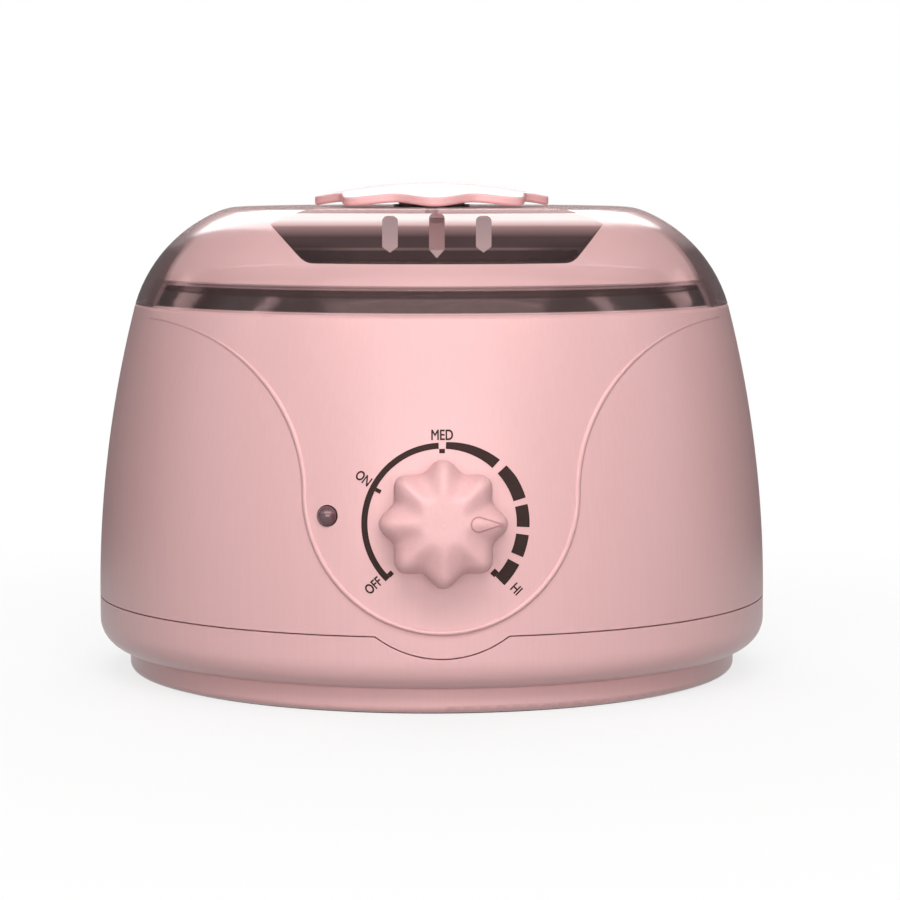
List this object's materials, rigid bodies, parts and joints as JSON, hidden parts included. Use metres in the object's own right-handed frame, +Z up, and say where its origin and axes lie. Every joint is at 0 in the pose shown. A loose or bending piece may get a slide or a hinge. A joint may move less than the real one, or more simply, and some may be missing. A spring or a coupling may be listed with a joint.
{
  "type": "wax warmer",
  "caption": "Round electric wax heater: waisted plastic housing with a front dial and lamp, a heated bowl, a lift-out pot with a wire bail and a clear lift-off lid with a lobed knob.",
  "frame": {"origin": "on the upright axis of the housing, on the surface that the rubber ring stands on", "axes": "+Z up along the axis of the housing, -Y towards the front with the dial, +Y towards the cord gland"},
  "size_m": [0.18, 0.1952, 0.1312],
  "materials": {
    "body_plastic": "satin pale pink moulded plastic",
    "knob_plastic": "satin pale pink moulded plastic",
    "clear_lid": "clear pink-tinted plastic, glossy",
    "dark_collar": "dark brown heat-proof plastic, glossy",
    "black_rubber": "matt black rubber",
    "pot_aluminium": "spun aluminium, satin",
    "steel": "zinc-plated steel",
    "wire_steel": "bright drawn wire",
    "mica": "mica and resistance strip, matt",
    "control_case": "dark phenolic moulding, matt",
    "white_moulding": "white nylon moulding, matt",
    "brass_terminal": "bare brass",
    "copper_tube": "bare copper",
    "lamp_lens": "tinted clear lens, glossy",
    "live_sleeve": "brown silicone sleeve",
    "neutral_sleeve": "blue silicone sleeve"
  },
  "bodies": {
    "housing": {"base_tray": "body_plastic", "upper_housing": "body_plastic", "anti_slip_ring": "black_rubber", "base_screws": "steel", "heating_bowl": "pot_aluminium", "bowl_collar": "dark_collar", "collar_screws": "steel", "heater_disc": "mica", "heater_press_plate": "steel", "heater_nut": "steel", "heater_tabs": "brass_terminal", "thermal_fuse": "steel", "fuse_clip": "steel", "thermostat_body": "control_case", "thermostat_tabs": "brass_terminal", "thermostat_bush": "brass_terminal", "panel_nut": "steel", "sensor_bulb": "copper_tube", "bulb_tube": "steel", "capillary_tube": "copper_tube", "indicator_lamp": "lamp_lens", "lamp_holder": "white_moulding", "lamp_leads": "neutral_sleeve", "cord_gland": "black_rubber", "terminal_block": "white_moulding", "terminal_screws": "brass_terminal", "supply_wire": "live_sleeve", "heater_wire": "live_sleeve", "return_wire": "neutral_sleeve"},
    "control_knob": {"temperature_knob": "knob_plastic", "thermostat_shaft": "steel"},
    "pot": {"wax_pot": "pot_aluminium", "bail_lugs": "steel", "lug_rivets": "steel"},
    "bail": {"pot_bail": "wire_steel"},
    "lid": {"lid_shell": "clear_lid", "lid_knob": "knob_plastic", "lid_knob_washer": "dark_collar", "lid_knob_screw": "steel"}
  },
  "joints": [
    {"name": "dial_turn", "type": "hinge", "parent": "housing", "child": "control_knob", "pos_m": [0, -0.08872, 0.0487], "axis": [0, -0.9958, 0.0912], "range_deg": [-45, 225]},
    {"name": "pot_lift", "type": "slide", "parent": "housing", "child": "pot", "axis": [0, 0, 1], "range_m": [0, 0.09]},
    {"name": "lid_lift", "type": "slide", "parent": "pot", "child": "lid", "axis": [0, 0, 1], "range_m": [0, 0.15]},
    {"name": "bail_swing", "type": "hinge", "parent": "pot", "child": "bail", "pos_m": [0, 0, 0.1062], "axis": [1, 0, 0], "range_deg": [0, 90]}
  ],
  "couplings": [
    {"joint": "bail_swing", "follows": "lid_lift", "rad_per_m": 10.472}
  ]
}
